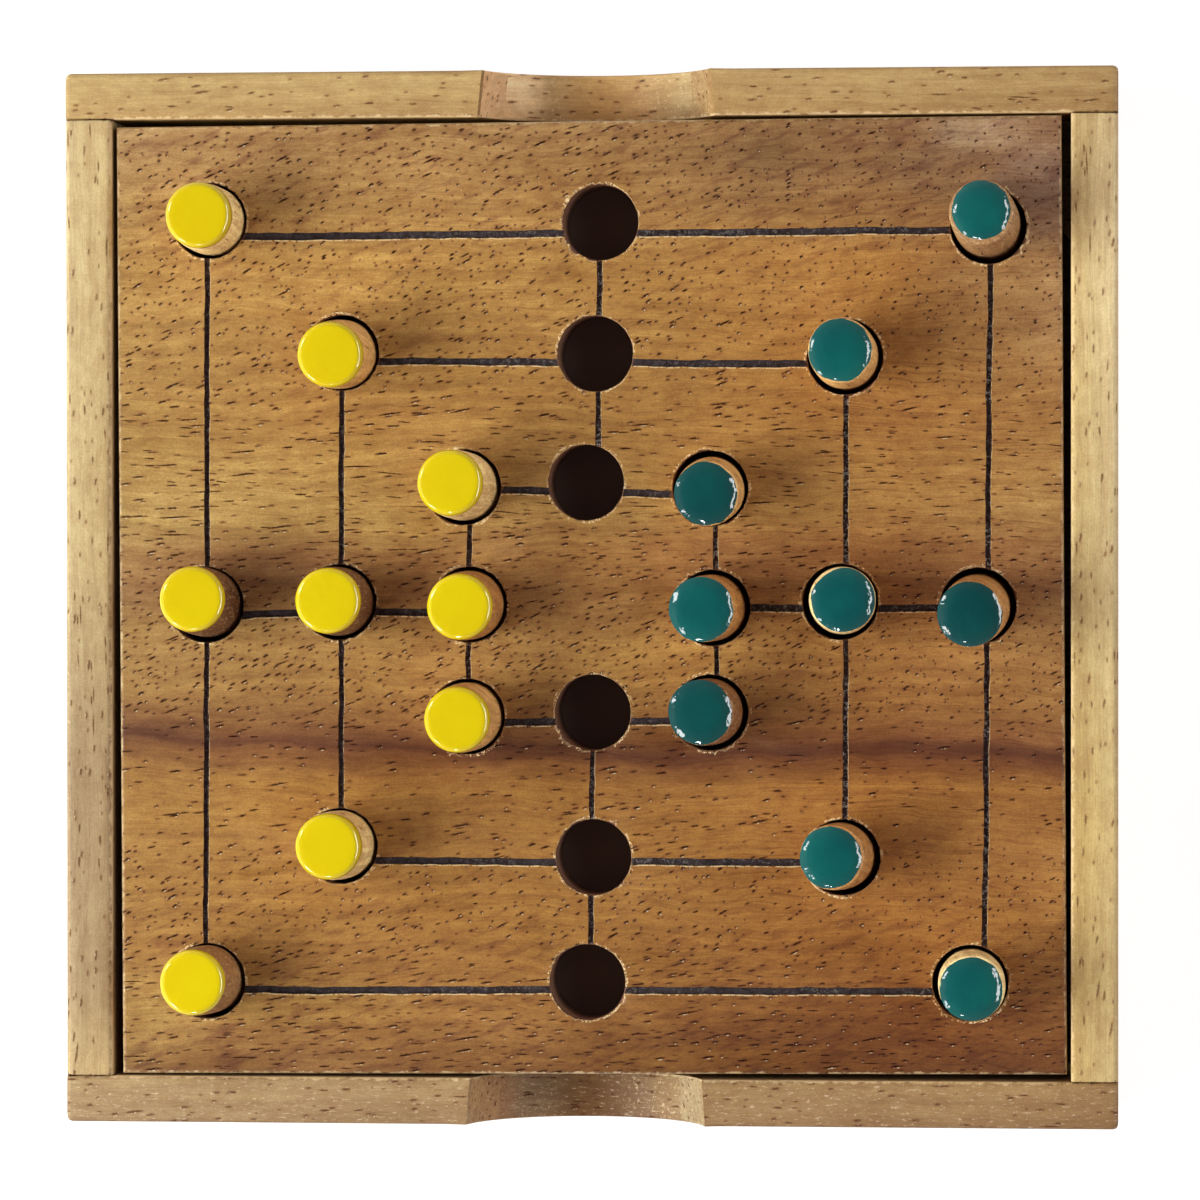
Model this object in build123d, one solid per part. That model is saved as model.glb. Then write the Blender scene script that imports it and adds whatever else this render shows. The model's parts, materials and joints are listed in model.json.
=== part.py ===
from build123d import *
import math
import os

# A wooden strategy board game: a drilled and engraved nine men's morris board that
# drops into a shallow box frame, with nine yellow and nine green pegs.
# Millimetres. +X is right, +Y is the back, +Z is up, and the origin is the middle of the base.

# Box frame
box_length = 140.0  # left to right, over the outside
box_depth = 140.0  # front to back, over the outside
box_height = 30.0
wall_thickness = 6.2
wall_edge_round = 0.7  # sanded top and corner edges

# Floor panel, let into a rabbet round the inside of the walls
floor_thickness = 3.0
rabbet_depth = 3.0
panel_gap = 0.1  # all round the panel, in its rabbet

# Corner blocks that carry the board
block_leg = 16.0  # along each wall

# Finger scoops in the back and front walls, measured at the outer face
back_scoop_radius = 16.2
back_scoop_depth = 10.5
back_scoop_x = 1.1
back_scoop_flare = -0.6  # how much the radius grows from the inner face to the outer face
front_scoop_radius = 16.3
front_scoop_depth = 12.6
front_scoop_x = -0.4
front_scoop_flare = 0.4

# Game board
board_thickness = 16.0
board_recess = 0.8  # its top lies this far below the rim
board_side_gap = 0.9
board_end_gap = 0.6
board_turn = 0.33  # degrees that it lies askew in the box
board_edge_round = 0.5

# Engraved lines: three squares, one in the other, joined across the middles of their sides
across_line_width = 0.95
upright_line_width = 0.7
line_depth = 0.5
line_margin_x = 11.5  # from the board's sides to the outer square, before the lines' shift
line_margin_y = 12.9
square_shares = [(1, 1), (0.65, 0.658), (0.317, 0.302)]  # outer to inner, of the outer square
lines_centre = (0.6, -1.8)

# How far the scored lines wandered at each playing point, x and y
left_lines = [
    (0.1, -0.1), (0.0, 0.4), (0.0, 1.1),
    (0.0, -0.1), (0.0, 0.0), (0.0, 0.1),
    (-0.5, 0.5), (-0.5, 0.1), (-0.8, 0.1),
]
middle_lines = [
    (1.2, 0.0), (0.0, 0.0), (0.7, 0.0),
    (-0.1, 0.0), (0.0, 0.0), (-0.7, 0.0),
]
right_lines = [
    (1.5, -0.3), (0.4, -0.6), (0.1, 0.1),
    (0.0, 0.1), (0.0, 0.0), (0.0, 0.3),
    (0.0, 0.6), (-0.2, -0.3), (0.1, -0.1),
]

# Peg holes, drilled by hand a little off the crossings
hole_diameter = 10.0
hole_depth = 12.0
drill_shift = (-0.4, 1.1)
drill_turn = -0.4  # degrees

# How far the drill wandered at each playing point, x and y
left_drill = [
    (0.1, 0.3), (0.0, 0.0), (-0.7, 0.1),
    (0.0, -0.6), (-0.2, -0.1), (0.2, -0.3),
    (0.0, 0.0), (0.2, 0.5), (0.5, -0.5),
]
middle_drill = [
    (1.1, 0.2), (0.5, 0.0), (-0.6, 0.8),
    (0.5, 0.7), (0.7, -0.6), (0.0, 0.0),
]
right_drill = [
    (1.0, -0.2), (0.2, -0.3), (-0.4, 0.1),
    (0.0, 0.0), (-0.2, 0.4), (0.0, -0.5),
    (-0.2, 0.8), (0.3, -0.3), (-0.7, 0.5),
]

# Pegs
peg_diameter = 8.6
peg_length = 23.0
peg_head_bevel = 0.45

# How far each loose peg's head leans off the axis of its hole, x and y
yellow_leans = [
    (0.2, 0.2), (-0.1, -0.6), (-0.6, 0.5),
    (-0.2, 0.9), (0.0, 0.3), (-0.1, -0.2),
    (-0.2, -0.1), (-0.2, 0.5), (-0.4, 0.6),
]
green_leans = [
    (-0.7, 1.2), (-0.1, 0.5), (0.3, -0.8),
    (-0.8, -1.0), (0.8, 0.4), (-0.7, -0.1),
    (-0.5, 0.3), (-0.9, 0.6), (0.5, 0.2),
]

# Sizes that follow from those above
inner_length = box_length - 2 * wall_thickness
inner_depth = box_depth - 2 * wall_thickness
board_length = inner_length - 2 * board_side_gap
board_depth = inner_depth - 2 * board_end_gap
outer_half_x = board_length / 2 - line_margin_x
outer_half_y = board_depth / 2 - line_margin_y
board_top = box_height - board_recess
board_underside = board_top - board_thickness
hole_bottom = board_top - hole_depth
peg_radius = peg_diameter / 2

# Playing points as ring, column and row, numbered from the back to the front
rings = range(len(square_shares))
left_points = [(ring, -1, 1) for ring in rings]
left_points += [(ring, -1, 0) for ring in rings]
left_points += [(ring, -1, -1) for ring in reversed(rings)]
middle_points = [(ring, 0, 1) for ring in rings]
middle_points += [(ring, 0, -1) for ring in reversed(rings)]
right_points = [(ring, 1, row) for ring, column, row in left_points]
playing_points = left_points + middle_points + right_points
drill_wander = dict(zip(playing_points, left_drill + middle_drill + right_drill))
line_wander = dict(zip(playing_points, left_lines + middle_lines + right_lines))


def turned(x, y, degrees):
    """A point of the plan, turned about the origin."""
    angle = math.radians(degrees)
    return (x * math.cos(angle) - y * math.sin(angle), x * math.sin(angle) + y * math.cos(angle))


def upright_box(length, depth, bottom, top):
    """A block centred on the origin in plan, between two heights."""
    block = Box(length, depth, top - bottom, align=(Align.CENTER, Align.CENTER, Align.MIN))
    return Pos(0, 0, bottom) * block


def panel_recess():
    """The room that the rabbets leave for the floor panel."""
    return upright_box(inner_length + 2 * rabbet_depth, inner_depth + 2 * rabbet_depth,
                       0, floor_thickness)


def top_edges(solid, height):
    """The edges that bound the top face."""
    return solid.edges().filter_by_position(Axis.Z, height, height)


def side_wall(side):
    """A left (side -1) or right (side 1) wall, which stands between the other two."""
    wall = upright_box(wall_thickness, inner_depth, 0, box_height)
    long_edges = top_edges(wall, box_height).filter_by(Axis.Y)
    wall = fillet(long_edges, wall_edge_round)
    wall = Pos(side * (inner_length + wall_thickness) / 2, 0, 0) * wall
    return wall - panel_recess()


def scoop(side, radius, flare, depth, centre_x):
    """The tapered round cutter of a finger scoop, which runs past both faces of its wall."""
    taper = flare / wall_thickness
    overrun = wall_thickness
    inner_radius = radius - flare - taper * overrun
    outer_radius = radius + taper * overrun
    cutter = Cone(inner_radius, outer_radius, wall_thickness + 2 * overrun)
    cutter = Rot(-90 * side, 0, 0) * cutter
    middle_y = side * (inner_depth + wall_thickness) / 2
    return Pos(centre_x, middle_y, box_height - depth + radius) * cutter


def end_wall(side, scoop_cutter):
    """A front (side -1) or back (side 1) wall, which runs the full length of the box."""
    wall = upright_box(box_length, wall_thickness, 0, box_height)
    corner_edges = wall.edges().filter_by(Axis.Z).sort_by(Axis.Y)
    outer_corners = corner_edges[2:] if side > 0 else corner_edges[:2]
    long_edges = top_edges(wall, box_height).filter_by(Axis.X)
    wall = fillet(outer_corners + long_edges, wall_edge_round)
    wall = Pos(0, side * (inner_depth + wall_thickness) / 2, 0) * wall
    return wall - panel_recess() - scoop_cutter


def floor_panel():
    """The thin panel that closes the box below."""
    margin = rabbet_depth - panel_gap
    return upright_box(inner_length + 2 * margin, inner_depth + 2 * margin, 0, floor_thickness)


def corner_block(side_x, side_y):
    """A triangular block glued into a corner, which carries a corner of the board."""
    corner_x = side_x * inner_length / 2
    corner_y = side_y * inner_depth / 2
    outline = Polyline((corner_x, corner_y), (corner_x - side_x * block_leg, corner_y),
                       (corner_x, corner_y - side_y * block_leg), close=True)
    height = board_underside - floor_thickness
    block = extrude(make_face(outline), height, dir=(0, 0, 1))
    return Pos(0, 0, floor_thickness) * block


def crossing(point):
    """Where a playing point would be on lines drawn exactly, before the board is turned."""
    ring, column, row = point
    share_x, share_y = square_shares[ring]
    return (lines_centre[0] + column * share_x * outer_half_x,
            lines_centre[1] + row * share_y * outer_half_y)


def groove(start, end, width):
    """A straight groove between two playing points, to be cut out of the board's top."""
    ends = []
    for point in (start, end):
        x, y = crossing(point)
        wander_x, wander_y = line_wander[point]
        ends.append((x + wander_x, y + wander_y))
    (start_x, start_y), (end_x, end_y) = ends
    length = math.hypot(end_x - start_x, end_y - start_y) + width
    angle = math.degrees(math.atan2(end_y - start_y, end_x - start_x))
    cutter = Box(length, width, 2 * line_depth)
    return Pos((start_x + end_x) / 2, (start_y + end_y) / 2, board_top) * Rot(0, 0, angle) * cutter


def grooves():
    """The sides of the three squares and the four lines that join them."""
    cuts = []
    for ring in rings:
        for side in (-1, 1):
            cuts.append(groove((ring, -1, side), (ring, 1, side), across_line_width))
            cuts.append(groove((ring, side, -1), (ring, side, 1), upright_line_width))
    outermost = rings[0]
    innermost = rings[-1]
    for side in (-1, 1):
        cuts.append(groove((outermost, side, 0), (innermost, side, 0), across_line_width))
        cuts.append(groove((outermost, 0, side), (innermost, 0, side), upright_line_width))
    return cuts


def hole_place(point):
    """The axis of a hole in plan."""
    x, y = crossing(point)
    wander_x, wander_y = drill_wander[point]
    return turned(x + drill_shift[0] + wander_x, y + drill_shift[1] + wander_y, drill_turn)


def drilled_hole(point):
    """The flat-bottomed hole at a playing point, to be cut out of the board."""
    overrun = board_recess
    cutter = Cylinder(hole_diameter / 2, hole_depth + overrun,
                      align=(Align.CENTER, Align.CENTER, Align.MIN))
    return Pos(*hole_place(point), hole_bottom) * cutter


def game_board():
    """The drilled and engraved board, lying a little askew in its box."""
    board = upright_box(board_length, board_depth, board_underside, board_top)
    board = fillet(top_edges(board, board_top), board_edge_round)
    board = Rot(0, 0, board_turn) * (board - grooves())
    return board - [drilled_hole(point) for point in playing_points]


def peg(point, lean):
    """A dowel peg whose foot stands on the bottom of its hole and whose head leans."""
    half_hole = hole_depth / 2
    head_lean = math.hypot(*lean)
    reach = peg_length - half_hole
    tilt = math.asin(head_lean / reach)
    below_pivot = (half_hole - peg_radius * math.sin(tilt)) / math.cos(tilt)
    body = Cylinder(peg_radius, peg_length, align=(Align.CENTER, Align.CENTER, Align.MIN))
    body = chamfer(top_edges(body, peg_length), peg_head_bevel)
    direction = math.degrees(math.atan2(lean[1], lean[0]))
    leaning = Rot(0, 0, direction) * Rot(0, math.degrees(tilt), 0) * Pos(0, 0, -below_pivot) * body
    return Pos(*hole_place(point), hole_bottom + half_hole) * leaning


def pieces():
    """Every piece of the game by name."""
    back_scoop = scoop(1, back_scoop_radius, back_scoop_flare, back_scoop_depth, back_scoop_x)
    front_scoop = scoop(-1, front_scoop_radius, front_scoop_flare, front_scoop_depth, front_scoop_x)
    parts = {
        "back_wall": end_wall(1, back_scoop),
        "front_wall": end_wall(-1, front_scoop),
        "left_wall": side_wall(-1),
        "right_wall": side_wall(1),
        "floor_panel": floor_panel(),
        "game_board": game_board(),
    }
    for end, side_y in (("back", 1), ("front", -1)):
        for side, side_x in (("left", -1), ("right", 1)):
            parts[f"corner_block_{end}_{side}"] = corner_block(side_x, side_y)
    for colour, points, leans in (("yellow", left_points, yellow_leans),
                                  ("green", right_points, green_leans)):
        for number, (point, lean) in enumerate(zip(points, leans), start=1):
            parts[f"{colour}_peg_{number}"] = peg(point, lean)
    return parts


os.makedirs("parts", exist_ok=True)
for name, solid in pieces().items():
    export_step(solid, f"parts/{name}.step")
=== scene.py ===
import bmesh
import bpy
import json
import math
from mathutils import Matrix, Vector, noise
from mathutils.geometry import delaunay_2d_cdt


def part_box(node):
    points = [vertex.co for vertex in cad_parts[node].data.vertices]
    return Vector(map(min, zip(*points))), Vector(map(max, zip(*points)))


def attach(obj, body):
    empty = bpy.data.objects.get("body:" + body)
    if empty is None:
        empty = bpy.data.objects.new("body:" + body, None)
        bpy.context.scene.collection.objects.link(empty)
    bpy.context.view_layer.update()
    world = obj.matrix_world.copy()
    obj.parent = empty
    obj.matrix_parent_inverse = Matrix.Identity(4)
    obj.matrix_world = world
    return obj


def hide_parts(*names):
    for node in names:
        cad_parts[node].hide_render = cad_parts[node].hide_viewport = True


# A wooden strategy board game, seen from above. Geometry and textures are worked out in
# millimetres in the frame of the part, and pieces are made in metres.
mm = 0.001

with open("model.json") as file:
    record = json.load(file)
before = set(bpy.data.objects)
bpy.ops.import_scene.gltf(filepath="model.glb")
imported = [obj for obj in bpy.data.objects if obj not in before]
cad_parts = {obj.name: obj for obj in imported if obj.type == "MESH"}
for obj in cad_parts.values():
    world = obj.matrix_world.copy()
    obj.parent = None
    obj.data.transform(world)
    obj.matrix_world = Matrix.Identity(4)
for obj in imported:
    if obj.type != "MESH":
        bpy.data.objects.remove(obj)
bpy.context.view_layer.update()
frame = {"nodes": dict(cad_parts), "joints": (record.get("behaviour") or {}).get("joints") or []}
joints = {joint["child"]: joint for joint in frame["joints"]}


def box_mm(node):
    """The lowest and highest corner of a node of the frame."""
    low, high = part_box(node)
    return low / mm, high / mm


# Box frame, as in the part
box_low, box_high = box_mm("back_wall")
half_length = box_high.x
half_depth = box_high.y
rim = box_high.z
wall_thickness = box_high.y - box_low.y
inner_half_length = half_length - wall_thickness
inner_half_depth = half_depth - wall_thickness
rabbet_height = box_mm("floor_panel")[1].z
rabbet_depth = 3.0
wall_edge_round = 0.7
joint_crack = 0.07

# Finger scoops: radius at the outer face, how much it grows outwards, depth and middle
back_scoop = (16.2, -0.6, 10.5, 1.1)
front_scoop = (16.3, 0.4, 12.6, -0.4)
scoop_edge_round = 0.35

# Game board, as in the part
board_low, board_high = box_mm("game_board")
board_top = board_high.z
board_underside = board_low.z
board_side_gap = 0.9
board_end_gap = 0.6
board_half_length = inner_half_length - board_side_gap
board_half_depth = inner_half_depth - board_end_gap
board_turn = math.radians(0.33)
board_edge_round = 0.5
across_line_width = 0.95
upright_line_width = 0.7
line_depth = 0.5
square_halves = [(51.4, 50.3), (33.41, 33.1), (16.29, 15.19)]
lines_centre = (0.6, -1.8)
rings = range(len(square_halves))
hole_depth = 12.0
hole_radius = 5.0
hole_mouth = 0.6  # how deep the worn mouth of a hole reaches
groove_highlight_shift = (0.06, -0.17)  # where the painted highlight on the lower lip of a groove lies beside it

# How far the scored lines wandered at each playing point, from the back to the front
left_lines = [
    (0.1, -0.1), (0.0, 0.4), (0.0, 1.1),
    (0.0, -0.1), (0.0, 0.0), (0.0, 0.1),
    (-0.5, 0.5), (-0.5, 0.1), (-0.8, 0.1),
]
middle_lines = [
    (1.2, 0.0), (0.0, 0.0), (0.7, 0.0),
    (-0.1, 0.0), (0.0, 0.0), (-0.7, 0.0),
]
right_lines = [
    (1.5, -0.3), (0.4, -0.6), (0.1, 0.1),
    (0.0, 0.1), (0.0, 0.0), (0.0, 0.3),
    (0.0, 0.6), (-0.2, -0.3), (0.1, -0.1),
]

# Pegs, as in the part
peg_radius = 4.3
peg_length = 23.0


# Materials from nodes

def operator(operation):
    """A method that works on a value and another, or on the value alone."""
    return lambda self, other=0.0: self.nodes.maths(operation, self, other)


class Value:
    """A number or a colour that nodes work out, which takes part in sums as plain numbers do."""

    def __init__(self, nodes, socket):
        self.nodes = nodes
        self.socket = socket

    __add__ = __radd__ = operator("ADD")
    __sub__ = operator("SUBTRACT")
    __mul__ = __rmul__ = operator("MULTIPLY")
    __truediv__ = operator("DIVIDE")
    __pow__ = operator("POWER")
    __abs__ = operator("ABSOLUTE")
    __gt__ = operator("GREATER_THAN")
    __lt__ = operator("LESS_THAN")

    def __rsub__(self, other):
        return self.nodes.maths("SUBTRACT", other, self)


class Nodes:
    """A node tree that is built by short calls."""

    def __init__(self, tree):
        self.tree = tree

    def feed(self, socket, value):
        """Links a socket to a value that nodes work out, or sets it to a number or a colour."""
        if isinstance(value, Value):
            value = value.socket
        if isinstance(value, bpy.types.NodeSocket):
            self.tree.links.new(value, socket)
        elif isinstance(value, tuple):
            socket.default_value = (*value, 1.0)
        else:
            socket.default_value = value

    def node(self, kind, inputs=(), **settings):
        made = self.tree.nodes.new(kind)
        for name, value in settings.items():
            setattr(made, name, value)
        for name, value in dict(inputs).items():
            self.feed(made.inputs[name], value)
        return made

    def result(self, kind, inputs, output=0, **settings):
        """What a new node gives."""
        return Value(self, self.node(kind, inputs, **settings).outputs[output])

    def maths(self, operation, first, second):
        return self.result("ShaderNodeMath", {0: first, 1: second}, operation=operation)

    def most(self, first, second):
        return self.maths("MAXIMUM", first, second)

    def least(self, first, second):
        return self.maths("MINIMUM", first, second)

    def split(self, vector):
        parts = self.node("ShaderNodeSeparateXYZ", {0: vector})
        return [Value(self, part) for part in parts.outputs]

    def vector(self, x=0.0, y=0.0, z=0.0):
        return self.result("ShaderNodeCombineXYZ", {0: x, 1: y, 2: z})

    def noise(self, vector, scale=1.0, detail=2.0, roughness=0.5):
        inputs = {"Vector": vector, "Scale": scale, "Detail": detail, "Roughness": roughness}
        return self.result("ShaderNodeTexNoise", inputs, "Fac")

    def between(self, value, low, high, start=0.0, end=1.0):
        """A smooth change from start to end while value goes from low to high."""
        inputs = {"Value": value, "From Min": low, "From Max": high, "To Min": start, "To Max": end}
        return self.result("ShaderNodeMapRange", inputs, interpolation_type="SMOOTHSTEP")

    def mix(self, share, first, second, blend="MIX"):
        inputs = {0: share, 6: first, 7: second}
        return self.result("ShaderNodeMix", inputs, 2, data_type="RGBA", blend_type=blend)

    def tinge(self, colour, shade, share=1.0):
        """A colour multiplied by another."""
        return self.mix(share, colour, shade, "MULTIPLY")

    def ramp(self, value, stops):
        """Colours along a value from 0 to 1."""
        made = self.node("ShaderNodeValToRGB", {0: value})
        elements = made.color_ramp.elements
        while len(elements) < len(stops):
            elements.new(1.0)
        for element, (position, colour) in zip(elements, stops):
            element.position = position
            element.color = (*colour, 1.0)
        return Value(self, made.outputs[0])

    def banded(self, distance, stops):
        """Colours along a distance from the middle of the part, which can lie on either side."""
        share = distance * (0.5 / band_reach) + 0.5
        return self.ramp(share, [(0.5 + 0.5 * place / band_reach, colour) for place, colour in stops])


class Look(Nodes):
    """A material whose lengths are in millimetres."""

    def __init__(self, name):
        self.material = bpy.data.materials.new(name)
        self.material.use_nodes = True
        super().__init__(self.material.node_tree)
        self.sockets = self.tree.nodes["Principled BSDF"].inputs
        source = self.node("ShaderNodeTexCoord").outputs
        inputs = {0: source["Object"], "Scale": 1 / mm}
        self.place = self.result("ShaderNodeVectorMath", inputs, operation="SCALE")
        self.x, self.y, self.z = self.split(self.place)
        self.facing = dict(zip("XYZ", self.split(source["Normal"])))

    def put(self, name, value):
        """Sets or links one of the shader's own sockets."""
        self.feed(self.sockets[name], value)

    def bump(self, height):
        """Relief, with its height in millimetres."""
        inputs = {"Height": height, "Strength": 1.0, "Distance": mm}
        self.put("Normal", self.result("ShaderNodeBump", inputs))


def srgb(red, green, blue):
    """A colour given as it looks on a screen, from 0 to 255."""
    linear = []
    for part in (red, green, blue):
        value = part / 255
        linear.append(value / 12.92 if value <= 0.04045 else ((value + 0.055) / 1.055) ** 2.4)
    return tuple(linear)


# Wood

band_reach = 70  # how far from the middle the bands of colour are given
side_slope = 0.75  # a face whose normal leans further than this way counts as a side or an end
near_black = srgb(40, 18, 13)
# Pale wood for worn places, also used for painted highlights on edges and along the grooves
pale_for_wear_and_highlight = srgb(226, 196, 148)
# The colour of the painted highlights beside the vessels
pore_glint_colour = srgb(226, 198, 160)
torn_wood = srgb(232, 206, 170)

# Cell, share of the longest, width and seed of the short vessels and of the long ones
vessel_layers = [((1.55, 1.0), 0.45, 0.133, 3.7), ((4.9, 1.7), 1.2, 0.119, 11.3)]

# Slope, length share and number of the vessels, where they are alike all over the piece
even_vessels = [(-70, (0.03, 1.1, 0.22)), (70, (0.06, 1.1, 0.22))]
sparse_vessels = [(-70, (0.02, 1.6, 0.06)), (70, (0.02, 1.6, 0.06))]


def vessels(look, along, across, cell, layout, longest, width, seed, far_length):
    """The dark mouths of a wood's vessels, the wood with a darker stain round them and painted
    highlights beside them.
    """
    cell_length, cell_width = cell
    u = along / cell_length + seed
    v = across / cell_width + seed
    cells = {"Vector": look.vector(u, v), "Scale": 1.0}
    spots = look.node("ShaderNodeTexVoronoi", cells, voronoi_dimensions="2D").outputs
    middle_u, middle_v, _ = look.split(spots["Position"])
    luck, other_luck, last_luck = look.split(spots["Color"])
    off_u = (u - middle_u) * cell_length
    off_v = (v - middle_v) * cell_width
    slope, reach, chance = look.split(look.banded((middle_v - seed) * cell_width, layout))
    slope = slope + (other_luck * 0.24 - 0.12)
    turned_u = slope * off_v + off_u
    turned_v = off_v - slope * off_u
    size = (luck ** 2.0 * longest + 0.2) * (reach * look.between(along, 0, 50, 1.0, far_length))
    ragged = look.noise(look.place, 3.2, 1.0)
    half_width = (other_luck * 0.7 + 0.65) * width * (ragged * 1.8 + 0.1) * (reach * -0.45 + 1.45)
    drawn = last_luck < chance

    def ellipse(aside, inner, outer):
        ratio_u = turned_u / size
        ratio_v = (turned_v + aside) / half_width
        return look.between(ratio_u * ratio_u + ratio_v * ratio_v, inner, outer, 1.0, 0.0) * drawn

    # A pale speck beside some vessels: a painted highlight where the lip of the pore would catch the
    # light
    pore_glints = ellipse(1.5 * width, 0.1, 0.4) * look.between(ragged, 0.51, 0.56) * (other_luck > 0.5)
    return ellipse(0.0, 0.4, 1.5) * (luck * 0.6 + 0.4), ellipse(0.0, 0.6, 5.0), pore_glints


def patched(look, colour, stains):
    """Soft patches of colour on what faces up, but not on the tops of the walls: stain on the board,
    painted light and shade in the scoops of the walls.
    """
    ragged = look.noise(look.place, 0.12, 3.0, 0.6) * 1.2
    level = look.between(look.facing["Z"], 0.1, 0.35)
    level = level * look.between(look.z, board_top, board_top + 0.2, 1.0, 0.0)
    for middle, size, shade, share in stains:
        off_x = (look.x - middle[0]) / size[0]
        off_y = (look.y - middle[1]) / size[1]
        away = off_x * off_x + off_y * off_y + ragged
        colour = look.tinge(colour, shade, look.between(away, 0.3, 2.1, share, 0.0) * level)
    return colour


def grain_place(look, grain, origin):
    """Places along and across the grain, which turn with the faces of a piece."""
    if grain == "Z":
        return look.z, look.y * 1.3 + look.x
    along, level, aside = (look.x, look.y, "Y") if grain == "X" else (look.y, look.x, "X")
    drop = look.z - origin
    across = drop * (abs(look.facing[aside]) > side_slope) + level
    # The cut ends show the growth rings as bands that run across them
    ends = abs(look.facing[grain]) > side_slope
    return (level * 2.5 - along) * ends + along, (level * 0.4 + drop - across) * ends + across


def wood(name, grain, bands, origin, layout=even_vessels, longest=0.9, dark=near_black, wear_and_highlight=None,
         contrast=1.0, gloss=0.46, waviness=2.5, tones=None, stains=(), threads=(0.2, 0.2), figure=0.0,
         depth=0.95, flecks=0.0, dirt=None, far_length=1.0):
    """A varnished wood with its growth bands, fibres, vessels, patches of stain, worn edges and painted
    light: highlights beside the vessels and on some edges, and light and shade in the scoops.
    """
    look = Look(name)
    along, across = grain_place(look, grain, origin)
    banding = across

    def stretched(scale_along, scale_across, detail=2.0, roughness=0.5):
        """Noise drawn out along the grain, which follows the bands once they wave."""
        place = look.vector(along * scale_along, banding * scale_across)
        return look.noise(place, 1.0, detail, roughness)

    wavy = stretched(0.02, 0.03) * (4 * waviness) - 2 * waviness
    ripple = stretched(0.11, 0.22) * (0.8 * waviness) - 0.4 * waviness
    banding = across + wavy + ripple
    colour = look.banded(banding, bands)

    # Bands, fibres and clouds, lighter and darker than the band's own colour
    silk = stretched(0.09, 3.2, 3.0, 0.65)
    clouds = stretched(0.06, 0.1, 3.0, 0.6)
    tint = 1.0
    for pattern, strength in ((stretched(0.025, 0.7, 4.0, 0.62), 1.1), (silk, 0.6),
                              (stretched(0.5, 9.0, 1.0), 0.5), (clouds, 0.6),
                              (look.noise(look.place, 3.4, 2.0, 0.7), 0.75)):
        swing = strength * contrast
        tint = tint * (pattern * swing + (1 - 0.5 * swing))
    colour = look.tinge(colour, look.vector(*(tint ** power for power in (0.9, 1.15, 1.35))))
    blotch = max(contrast, 0.9)
    dull, bright = (tuple(1 + blotch * part for part in parts)
                    for parts in ((-0.1, -0.16, -0.24), (0.05, 0.07, 0.02)))
    mottle = look.between(stretched(0.3, 0.55, 4.0, 0.7), 0.38, 0.62)
    colour = look.tinge(colour, look.mix(mottle, dull, bright))
    thread = look.between(stretched(0.1, 4.2, 2.0, 0.55), 0.56, 0.68)
    colour = look.tinge(colour, (0.46, 0.32, 0.26), thread * look.between(along, -50, 50, *threads))
    if tones is not None:
        colour = look.tinge(colour, look.banded(along, tones))
    # Patches of stain on the board, and of painted light and shade in the scoops of the walls
    if stains:
        colour = patched(look, colour, stains)
    if figure:
        leaning = look.vector(across * 0.12 + along * 0.2, along * -0.4 + across)
        smudge = look.between(look.noise(leaning, 0.8, 3.0, 0.6), 0.5, 0.66)
        outer = look.between(abs(across), 24, 56, 0.25, 1.0)
        colour = look.tinge(colour, (0.66, 0.54, 0.6), smudge * outer * figure)

    # Short and long vessels
    layers = [vessels(look, along, across, cell, layout, longest * length, width, seed, far_length)
              for cell, length, width, seed in vessel_layers]
    marks, halos, pore_glints = (look.most(short, long) for short, long in zip(*layers))
    colour = look.tinge(colour, (0.66, 0.46, 0.38), halos * (0.6 * depth))
    colour = look.mix(marks * depth, colour, dark)
    # Painted highlights beside the vessels
    colour = look.mix(pore_glints * 0.6, colour, pore_glint_colour)

    if flecks:
        pale = look.between(stretched(0.8, 2.6, 4.0, 0.8), 0.57, 0.65, 0.0, flecks)
        colour = look.mix(pale, colour, torn_wood)
    # Pale worn wood, and on some edges and along the grooves a painted highlight
    if wear_and_highlight is not None:
        colour = look.mix(wear_and_highlight(look), colour, pale_for_wear_and_highlight)
    if dirt is not None:
        colour = look.mix(dirt(look), colour, dark)
    look.put("Base Color", colour)
    look.put("Roughness", marks * 0.25 + (clouds * 0.16 + (gloss - 0.08)))
    look.put("Specular IOR Level", marks * -0.28 + 0.28)
    look.bump(silk * 0.03 + marks * -0.05)
    return look.material


def frayed(look, distance, scale, reach, low=-0.72, high=-0.42, share=1.0, detail=4.0):
    """How much of a surface lies within a ragged distance of an edge."""
    ragged = distance - look.noise(look.place, scale, detail, 0.7) * reach
    return look.between(ragged, low, high, share, 0.0)


def board_edge_wear_and_highlight(look):
    """Pale worn wood along the top edges of the board, partly a painted highlight of the light on their
    rounded edges.
    """
    from_side = board_half_length - abs(look.y * board_turn + look.x)
    from_end = board_half_depth - abs(look.x * -board_turn + look.y)
    upward = look.between(look.facing["Z"], 0.05, 0.3, 0.0, 0.6)
    return frayed(look, look.least(from_side, from_end), 0.9, 1.5) * upward


def wall_edge_wear_and_highlight(look):
    """Pale worn wood along the inner top edges of the walls, partly a painted highlight of the light on
    their eased edges, and specks in the scoops.
    """
    inner = look.most(abs(look.x) - inner_half_length, abs(look.y) - inner_half_depth)
    rubbed = frayed(look, inner, 0.7, 1.6) * look.between(look.facing["Z"], 0.05, 0.3, 0.0, 0.75)
    slope = look.between(abs(look.facing["X"]), 0.15, 0.4)
    specks = look.between(look.noise(look.place, 1.9, 4.0, 0.75), 0.56, 0.66) * slope
    return look.most(rubbed, specks * 0.6)


def joint_dirt(look):
    """Dark cracks and crumbs where the ends of the side walls meet the other two."""
    seam = abs(abs(look.y) - inner_half_depth)
    outside = abs(look.x) > inner_half_length - 0.3
    return frayed(look, seam, 1.1, 1.5, -0.8, -0.64, 0.8, 3.0) * outside


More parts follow.
